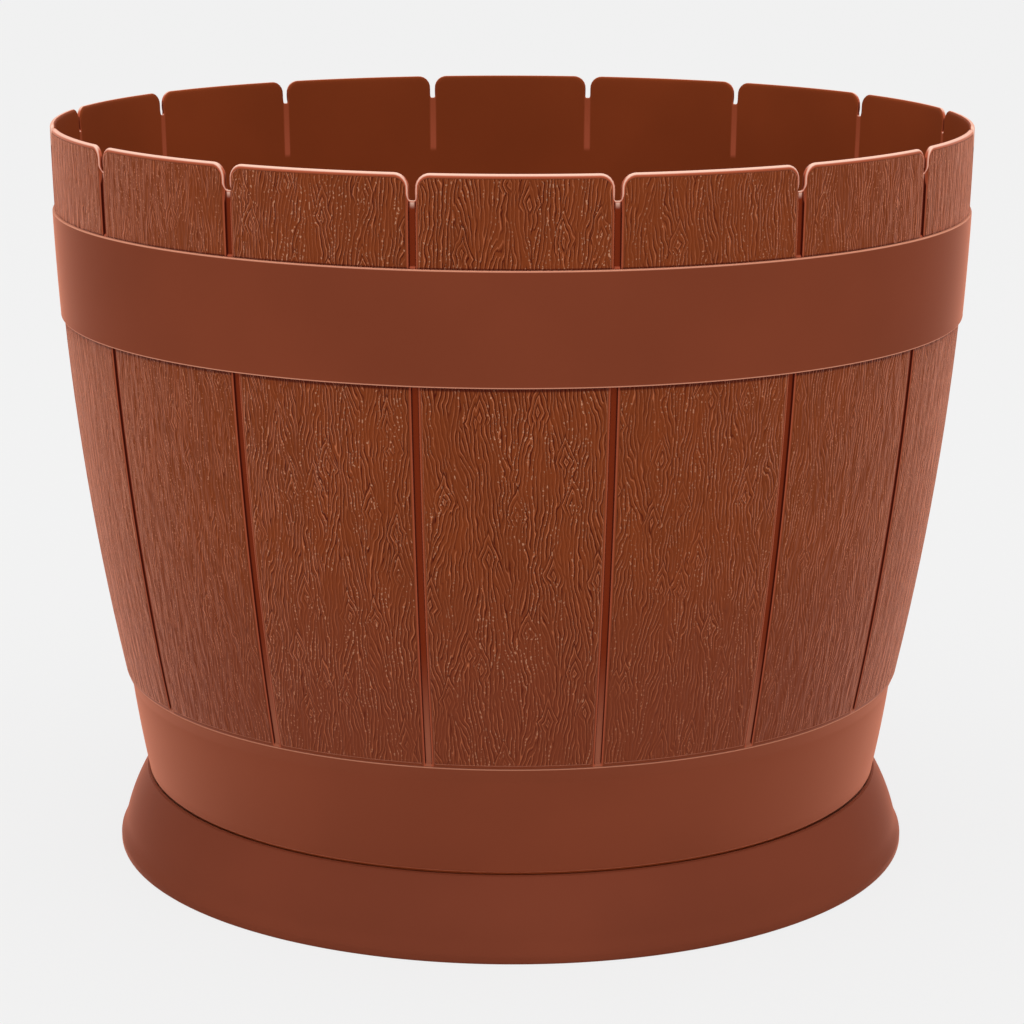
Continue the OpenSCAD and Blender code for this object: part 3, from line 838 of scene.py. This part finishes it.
class Finish:
    """The node tree of one material, or of the world."""

    def __init__(self, name, owner=None):
        self.material = owner or bpy.data.materials.new(name)
        self.material.use_nodes = True
        self.tree = self.material.node_tree
        self.tree.nodes.clear()

    def node(self, kind, settings=None, inputs=None):
        """A node of that kind: its settings are set first, and then its sockets."""
        node = self.tree.nodes.new(kind)
        for key, value in (settings or {}).items():
            setattr(node, key, value)
        for key, value in (inputs or {}).items():
            socket = node.inputs[key]
            if isinstance(value, Wire):
                value = value.socket
            if isinstance(value, bpy.types.NodeSocket):
                self.tree.links.new(value, socket)
            else:
                socket.default_value = value
        return node

    def noise(self, place, detail=2.0, roughness=0.5, scale=1.0):
        """Smooth noise from 0 to 1 at a place."""
        inputs = {"Vector": place, "Scale": scale, "Detail": detail, "Roughness": roughness}
        node = self.node("ShaderNodeTexNoise", {"noise_dimensions": "3D"}, inputs)
        return Wire(self, node.outputs[0])

    def place(self, x, y, z=0.0):
        """A place made of three values."""
        return self.node("ShaderNodeCombineXYZ", None, {0: x, 1: y, 2: z}).outputs[0]

    def parts(self, vector):
        """The three values of a vector."""
        node = self.node("ShaderNodeSeparateXYZ", None, {0: vector})
        return [Wire(self, out) for out in node.outputs]

    def object_place(self):
        """Object coordinates, in metres."""
        return self.node("ShaderNodeTexCoord").outputs["Object"]

    def attribute(self, name):
        """One of the piece's own attributes."""
        node = self.node("ShaderNodeAttribute", {"attribute_name": name})
        return Wire(self, node.outputs["Fac"])

    def seen_by_lens(self):
        """1 for a camera, glossy or transmission ray, and 0 for a diffuse or shadow ray."""
        rays = self.node("ShaderNodeLightPath").outputs
        return (Wire(self, rays["Is Camera Ray"]) + rays["Is Glossy Ray"]
                + rays["Is Transmission Ray"])

    def mix(self, factor, first, second):
        """Two colours mixed by a factor."""
        first, second = (c + (1.0,) if isinstance(c, tuple) else c for c in (first, second))
        node = self.node("ShaderNodeMix", {"data_type": "RGBA", "blend_type": "MIX"},
                         {0: factor, 6: first, 7: second})
        return node.outputs[2]

    def layered(self, face, *layers):
        """A colour with others laid over it in turn, each given as (how much, colour)."""
        for much, paint in layers:
            face = self.mix(much, face, paint)
        return face

    def shader_mix(self, factor, first, second):
        """Two shaders mixed by a factor."""
        return self.node("ShaderNodeMixShader", None, {0: factor, 1: first, 2: second}).outputs[0]

    def bumped(self, heights):
        """The normal of a surface with small heights in millimetres."""
        return self.node("ShaderNodeBump", None, {"Height": heights, "Distance": MM,
                                                  "Strength": 1.0}).outputs[0]

    def flow_marks(self):
        """Slow clouds from 0 to 1 as on moulded plastic, and the normal of its fine texture."""
        place = self.object_place()
        cloud = self.noise(place, 3.0, 0.5, scale=9.0)
        return cloud, self.bumped(self.noise(place, 2.0, 0.6, scale=900.0) * 0.02)

    def height_mm(self):
        """Height above the ground in millimetres."""
        return self.parts(self.object_place())[2] / MM

    def plastic(self, base_colour, roughness, haze, normal, sheen=1.0, gloss=SMOOTH_GLOSS):
        """The moulded plastic's shader, joined to the material's output.

        haze is the roughness of the sheen: the larger it is, the wider the pale edge of a curve.
        """
        shader = self.node("ShaderNodeBsdfPrincipled", None, {
            "Base Color": base_colour, "Roughness": roughness, "Specular IOR Level": gloss,
            "Sheen Weight": sheen, "Sheen Roughness": haze, "Sheen Tint": SHEEN_TINT,
            "Normal": normal})
        self.node("ShaderNodeOutputMaterial", None, {"Surface": shader.outputs[0]})
        return self.material


def tinted(paint, factor):
    """A colour made lighter or darker."""
    return tuple(min(1.0, factor * c) for c in paint)


def board_noise(f, across, along, board):
    """A function that gives noise from 0 to 1 on the boards, different on each of them."""
    seed = board * 17.3

    def drift(wide, long, shift, detail=1.0):
        """Noise in patches that many millimetres wide across and long along the grain."""
        return f.noise(f.place(across / wide, along / long, seed + shift), detail)
    return drift


def grain_lines(f, across, along, board, drift):
    """Raised lines, sunk lines and dots of the moulded wood grain, each from 0 to 1.

    Gabor noise gives lines of an even pitch that fork and end, and slow noise leans them to the
    left and right. The upper parts of diamond rings round scattered points give the knots and
    pointed arches. Each raised line has a sunk line at its right. Noise breaks the lines up and
    lets them fade, and in narrow bands rows of dots sit on them. Cells and the pitch of the
    rings are in millimetres, and the strips are in parts of a line's pitch.
    """
    line_cell, knot_cell, ring_pitch = (8.6, 15), (17, 50), 1.9
    raised_strip, sunk_strip = (0.26, 0.38, 0.42, 0.54), (0.58, 0.68, 0.74, 0.88)
    dot_strip = (0.10, 0.22, 0.50, 0.66)
    lean, sway, lift = drift(13, 38, 0.0) - 0.5, drift(5, 9, 4.0) - 0.5, drift(6, 12, 44.0) - 0.5
    weave = f.node("ShaderNodeTexGabor", {"gabor_type": "2D"}, {
        "Vector": f.place(across / line_cell[0] + board * 37.0 + sway * 0.34,
                          along / line_cell[1] + board * 11.0),
        "Scale": 1.0, "Frequency": 4.7, "Anisotropy": 0.95, "Orientation": lean * 2.3}).outputs
    phase, clear = Wire(f, weave["Phase"]), Wire(f, weave["Intensity"]).ramp(0.02, 0.10)
    knot_z = along / knot_cell[1] + board * 13.0 + lift * 0.16
    knots = f.node("ShaderNodeTexVoronoi", {"voronoi_dimensions": "2D", "distance": "MANHATTAN"}, {
        "Vector": f.place(across / knot_cell[0] + board * 31.0 + sway * 0.16, knot_z),
        "Scale": 1.0}).outputs
    knot = Wire(f, knots["Distance"])
    above = (knot_z - f.parts(knots["Position"])[1]).ramp(-0.10, -0.05)
    in_knot = knot.fall(0.31, 0.34) * above
    ring = (knot * (knot_cell[0] / ring_pitch)).fraction()

    def lines(strip):
        """That strip of every line of the weave, or of every ring of a knot."""
        weave_line, ring_line = phase.strip(*strip) * clear, ring.strip(*strip)
        return weave_line + in_knot * (ring_line - weave_line)

    kept = drift(1.3, 7, 9.0).ramp(0.3, 0.5, 0.35) * drift(7, 20, 31.0).ramp(0.34, 0.58, 0.30)
    specks = drift(0.95, 1.15, 2.0, 0.0).ramp(0.635, 0.70)
    speckled = drift(4, 30, 13.0).ramp(0.45, 0.56)
    dots = specks * speckled * phase.strip(*dot_strip)
    return lines(raised_strip) * kept, lines(sunk_strip) * kept, dots


def stave_finish(c, s):
    """Satin plastic: raised wood grain, painted shade in the grooves, painted highlights on edges.

    The relief is lower towards the foot, and lower on some of the staves.
    """
    f = Finish("stave_wood_grain_plastic")
    across, along, _ = f.parts(f.node("ShaderNodeUVMap", {"uv_map": "board_map"}).outputs[0])
    board = ((across + BOARD_STEP / 2) / BOARD_STEP).floor()
    across = across - board * BOARD_STEP
    drift = board_noise(f, across, along, board)
    z, edge, groove = f.height_mm(), f.attribute("edge_glow"), f.attribute("from_groove")
    mask = f.attribute("grain_mask").ramp(0.35, 0.65)
    depth = (board * 0.3 + 0.78).fraction().ramp(0.35, 0.98, 1.12, 0.62)  # stave by stave
    relief = mask * z.ramp(s.stave_end, s.stave_end + 115, 0.56, 1.0) * depth
    raised, sunk, dots = (part * relief for part in grain_lines(f, across, along, board, drift))

    # The face: its slow tone, its smooth borders, a painted reflection of the floor on the feet of
    # the staves, and the grain, a relief with painted highlights on its raised lines and dots and
    # painted shade on its sunk lines.
    tone = drift(14, 45, 21.0, 2.0)
    face = f.mix(tone.ramp(0.3, 0.7), tinted(c.stave, 1.06), tinted(c.stave, 0.94))
    face = f.mix(mask, c.stave_plain, face)
    face = f.layered(face, (z.fall(s.stave_end + 20, s.stave_end + 130), c.stave_low),
                     (sunk, c.grain_valley), (raised, c.grain_ridge), (dots * 0.7, c.grain_dot))

    # The groove's floor in painted shade, with painted light at its lower end and painted
    # highlights on the sill above the upper band and at the top.
    lit = z.fall(s.stave_end + 5, s.stave_end + 65)
    sill = z.strip(0.0, 0.2, 0.9, 1.5, at=s.upper_top)
    nub_highlight = z.ramp(s.notch_z - 4.0, s.notch_z - 0.5) * groove.fall(0.5, 1.4)
    floor_tone = f.layered(c.groove, (lit, c.groove_end_painted_light), (sill * 0.7, c.rounding),
                           (nub_highlight * 0.8, c.crest))

    # Painted shadows beside the upper band; a painted highlight on the groove's rounding, painted
    # shade on its walls and the floor tone above; painted light on the part behind the base's
    # seam;
    # and a painted highlight on the top edge of the stave.
    # Painted shadows on the stave just below and just above the upper band.
    under = z.strip(-2.2, -1.2, 0.5, 1.0, at=s.upper_bottom)
    over = z.strip(-1.0, 0.0, 0.6, 1.2, at=s.upper_top)
    walls = groove.fall(*GROOVE_WALL) * z.ramp(s.stave_end + 0.8, s.stave_end + 2.4)
    # Painted light on the shaded part of the pot behind the seam with the base.
    seam = z.strip(-1.6, -1.0, 0.8, 1.4, at=s.band_bottom)
    face = f.layered(face, ((under + over) * 0.8, c.painted_shade),
                     (groove.fall(*GROOVE_SIDE) * 0.6, c.rounding), (walls, c.painted_shade),
                     (groove.fall(*GROOVE_FLOOR), floor_tone), (seam, c.seam_painted_light),
                     (edge.ramp(0.15, 0.5), c.rounding), (edge.ramp(0.55, 0.95), c.crest))

    # Heights in millimetres. The swell is a slow waviness that shows on staves seen from the side.
    swell = drift(3.4, 16, 57.0) * mask
    normal = f.bumped(raised * 0.22 - sunk * 0.20 + dots * 0.25 + swell * 1.4)
    return f.plastic(face, 0.42 - raised * 0.06 + sunk * 0.12, 0.34, normal, gloss=STAVE_GLOSS)


def inside_finish(c, s):
    """Smooth inside of the pot, painted light on the thin webs behind the grooves, painted edge
    highlights.
    """
    f = Finish("pot_inside_plastic")
    cloud, normal = f.flow_marks()
    z, edge, groove = f.height_mm(), f.attribute("edge_glow"), f.attribute("from_groove")
    open_web = (z.ramp(s.upper_top - 1, s.upper_top + 2)
                + z.strip(s.stave_end, s.stave_end + 3, s.upper_bottom - 1, s.upper_bottom + 1))
    web = groove.fall(1.2, 2.3) * open_web * z.ramp(s.upper_top, s.notch_z, 1.0, 0.6)
    face = f.mix(cloud.ramp(0.3, 0.7), tinted(c.inside, 0.90), tinted(c.inside, 1.08))
    face = f.layered(face, (web, c.web), (edge.ramp(0.45, 0.95) * 0.8, c.rounding),
                     (edge.ramp(0.4, 0.9) * groove.fall(0.9, 1.5), c.crest))
    return f.plastic(face, 0.45 + cloud * 0.06, 0.3, normal, sheen=0.0)


def smooth_finish(name, base_colour, haze, lines=()):
    """Smooth satin plastic: faint flow marks in the colour and the gloss, and a fine texture.

    Each line is (height where it starts, height where it is full, colour, strength). The lines
    are painted highlights, painted shade and painted light along edges and seams.
    """
    f = Finish(name)
    cloud, normal = f.flow_marks()
    z = f.height_mm()
    face = f.mix(cloud.ramp(0.3, 0.7), tinted(base_colour, 0.95), tinted(base_colour, 1.05))
    for start, full, line_colour, strength in lines:
        line = z.ramp(start, full) if full > start else z.fall(full, start)
        face = f.mix(line * strength, face, line_colour)
    return f.plastic(face, 0.40 + cloud * 0.06, haze, normal)


def stage_finish(tone):
    """Pale floor: the camera, glossy and transmission rays see its own tone with a soft shadow."""
    f = Finish("pale_stage")
    shadow = 0.10  # how much of the plain floor shows, and with it the object's shadow
    plain = f.node("ShaderNodeBsdfDiffuse", None, {"Color": (0.8, 0.8, 0.8, 1.0)}).outputs[0]
    seen = f.node("ShaderNodeEmission", None, {"Color": tone + (1.0,), "Strength": 1.0}).outputs[0]
    both = f.shader_mix(f.seen_by_lens(), plain, f.shader_mix(shadow, seen, plain))
    f.node("ShaderNodeOutputMaterial", None, {"Surface": both})
    return f.material


# ---------------------------------------------------------------------------------------------
# Stage
# ---------------------------------------------------------------------------------------------

def soft_box(name, place, target, width, tall, watts):
    """A rectangular lamp at a place, facing a target."""
    lamp = bpy.data.lights.new(name, "AREA")
    lamp.shape, lamp.size, lamp.size_y, lamp.energy = "RECTANGLE", width, tall, watts
    holder = bpy.data.objects.new(name, lamp)
    turn = (Vector(target) - Vector(place)).to_track_quat("-Z", "Y")
    holder.matrix_world = Matrix.Translation(place) @ turn.to_matrix().to_4x4()
    bpy.context.scene.collection.objects.link(holder)
    holder.visible_camera = False


def photo_camera():
    """The photograph's camera, in metres and degrees, with its focal length in pixels.

    It has a long lens, stands a little above the rim and looks down. It is turned a third of a
    degree round the planter and rolled an eighth of a degree.
    """
    distance, level, offset = 1.6271, 0.5608, 0.0003
    turn, down, roll = (math.radians(a) for a in (0.33, 13.306, 0.132))
    focal, frame_width, film = 3097.1, 1024, 36.0
    ahead = Vector((math.sin(turn), math.cos(turn), 0))
    side = Vector((math.cos(turn), -math.sin(turn), 0))
    look = ahead * math.cos(down) - Vector((0, 0, math.sin(down)))
    above = side.cross(look)
    right = side * math.cos(roll) + above * math.sin(roll)
    up = above * math.cos(roll) - side * math.sin(roll)
    place = ahead * -distance + side * offset
    place.z = level
    camera = bpy.data.cameras.new("photo_camera")
    camera.sensor_width, camera.lens = film, film * focal / frame_width
    camera.clip_end = 100.0
    holder = bpy.data.objects.new("photo_camera", camera)
    turn_matrix = Matrix((right, up, -look)).transposed().to_4x4()
    holder.matrix_world = Matrix.Translation(place) @ turn_matrix
    bpy.context.scene.collection.objects.link(holder)
    bpy.context.scene.camera = holder


def build_world(tone):
    """Even room light, and the stage's own tone where the camera sees past the floor."""
    world = bpy.data.worlds.new("room")
    bpy.context.scene.world = world
    f = Finish("room", world)
    light, seen = (f.node("ShaderNodeBackground", None, {"Color": paint, "Strength": strength})
                   for paint, strength in (((1, 1, 1, 1), 0.90), (tone + (1.0,), 1.0)))
    both = f.shader_mix(f.seen_by_lens(), light.outputs[0], seen.outputs[0])
    f.node("ShaderNodeOutputWorld", None, {"Surface": both})


# ---------------------------------------------------------------------------------------------
# Operators and panel
# ---------------------------------------------------------------------------------------------

class PLANTER_OT_pot(bpy.types.Operator):
    """Build the pot of staves with its floor, drain holes and foot ring"""
    bl_idname = "planter.pot"
    bl_label = "Pot"

    def execute(self, context):
        s, c = sizes(context), paints(context)
        build_pot(s, stave_finish(c, s), inside_finish(c, s))
        return {"FINISHED"}


class PLANTER_OT_bands(bpy.types.Operator):
    """Build the upper and the lower band"""
    bl_idname = "planter.bands"
    bl_label = "Bands"

    def execute(self, context):
        s, c = sizes(context), paints(context)
        # Each band's name, CAD node, section, haze, and lines as smooth_finish takes them: painted
        # highlights on the edges and the lip, and painted light in the shaded seam above the base.
        bands = (("upper_band", "upper_hoop", upper_band_profile(s), 0.27,
                  ((s.upper_top - 0.8, s.upper_top - 0.35, c.band_edge_highlight, 0.8),
                   (s.upper_bottom + 0.80, s.upper_bottom + 0.40, c.band_edge_highlight, 0.75))),
                 ("lower_band", "lower_hoop", lower_band_profile(s), 0.44,
                  ((s.stave_end - 0.9, s.stave_end - 0.5, c.band_edge_highlight, 0.55),
                   (s.band_bottom + 0.9, s.band_bottom + 0.3, c.seam_painted_light, 0.9))))
        for name, node, profile, haze, lines in bands:
            points, quads = joined(spin(profile))
            material = smooth_finish(f"{name}_plastic", c.band, haze, lines)
            add_piece(name, points, quads, [material], "pot", [node])
        return {"FINISHED"}


class PLANTER_OT_base(bpy.types.Operator):
    """Build the flared base with its tray, rings and ribs"""
    bl_idname = "planter.base"
    bl_label = "Base"

    def execute(self, context):
        s, c = sizes(context), paints(context)
        # Painted shade along the base's top edge at the seam.
        seam = (s.base_top - 0.7, s.base_top - 0.2, c.seam, 0.5)
        build_base(s, smooth_finish("base_plastic_satin", c.base, 0.26, [seam]))
        return {"FINISHED"}


class PLANTER_OT_plugs(bpy.types.Operator):
    """Build the four drain plugs"""
    bl_idname = "planter.plugs"
    bl_label = "Drain plugs"

    def execute(self, context):
        s = sizes(context)
        material = smooth_finish("plug_plastic_satin", paints(context).plug, 0.35)
        for number in range(1, 5):
            build_plug(s, number, material)
        return {"FINISHED"}


class PLANTER_OT_stage(bpy.types.Operator):
    """Build the floor, the soft box, the room light and the camera"""
    bl_idname = "planter.stage"
    bl_label = "Stage"

    def execute(self, context):
        tone = paints(context).stage
        half = 30.0  # half of the floor's side, in metres
        corners = [(-half, -half, 0), (half, -half, 0), (half, half, 0), (-half, half, 0)]
        mesh = bpy.data.meshes.new("stage_floor")
        mesh.from_pydata(corners, [], [(0, 1, 2, 3)])
        mesh.materials.append(stage_finish(tone))
        floor = bpy.data.objects.new("stage_floor", mesh)
        context.scene.collection.objects.link(floor)
        soft_box("top_soft_box", place=(0, -0.4, 2.2), target=(0, 0, 0.2), width=3.0, tall=3.0,
                 watts=18)
        build_world(tone)
        photo_camera()
        context.scene.view_settings.view_transform = "Standard"
        return {"FINISHED"}


class PLANTER_PT_panel(bpy.types.Panel):
    """Sizes, colours and build buttons of the planter"""
    bl_idname = "PLANTER_PT_panel"
    bl_label = "Barrel planter"
    bl_space_type = "VIEW_3D"
    bl_region_type = "UI"
    bl_category = "Planter"

    def draw(self, context):
        for operator in OPERATORS:
            self.layout.operator(operator.bl_idname)
        for key in GROUPS:
            group = getattr(context.scene, key)
            box = self.layout.box()
            box.label(text=key.replace("_", " ").capitalize())
            for prop in group.bl_rna.properties:
                if prop.identifier not in {"rna_type", "name"}:
                    box.prop(group, prop.identifier)


GROUPS = {"planter_pot": PlanterPotSizes, "planter_bands": PlanterBandSizes,
          "planter_base": PlanterBaseSizes, "planter_colours": PlanterColours}
OPERATORS = (PLANTER_OT_stage, PLANTER_OT_pot, PLANTER_OT_bands, PLANTER_OT_base,
             PLANTER_OT_plugs)


def register():
    """Register the groups, operators and panel."""
    for key, group in GROUPS.items():
        bpy.utils.register_class(group)
        setattr(bpy.types.Scene, key, bpy.props.PointerProperty(type=group))
    for operator in OPERATORS + (PLANTER_PT_panel,):
        bpy.utils.register_class(operator)


def unregister():
    """Take the panel, operators and groups away again."""
    for operator in (PLANTER_PT_panel,) + OPERATORS[::-1]:
        bpy.utils.unregister_class(operator)
    for key, group in GROUPS.items():
        delattr(bpy.types.Scene, key)
        bpy.utils.unregister_class(group)


def main():
    register()
    for operator in OPERATORS:
        group, name = operator.bl_idname.split(".")
        getattr(getattr(bpy.ops, group), name)()


if __name__ == "__main__":
    main()
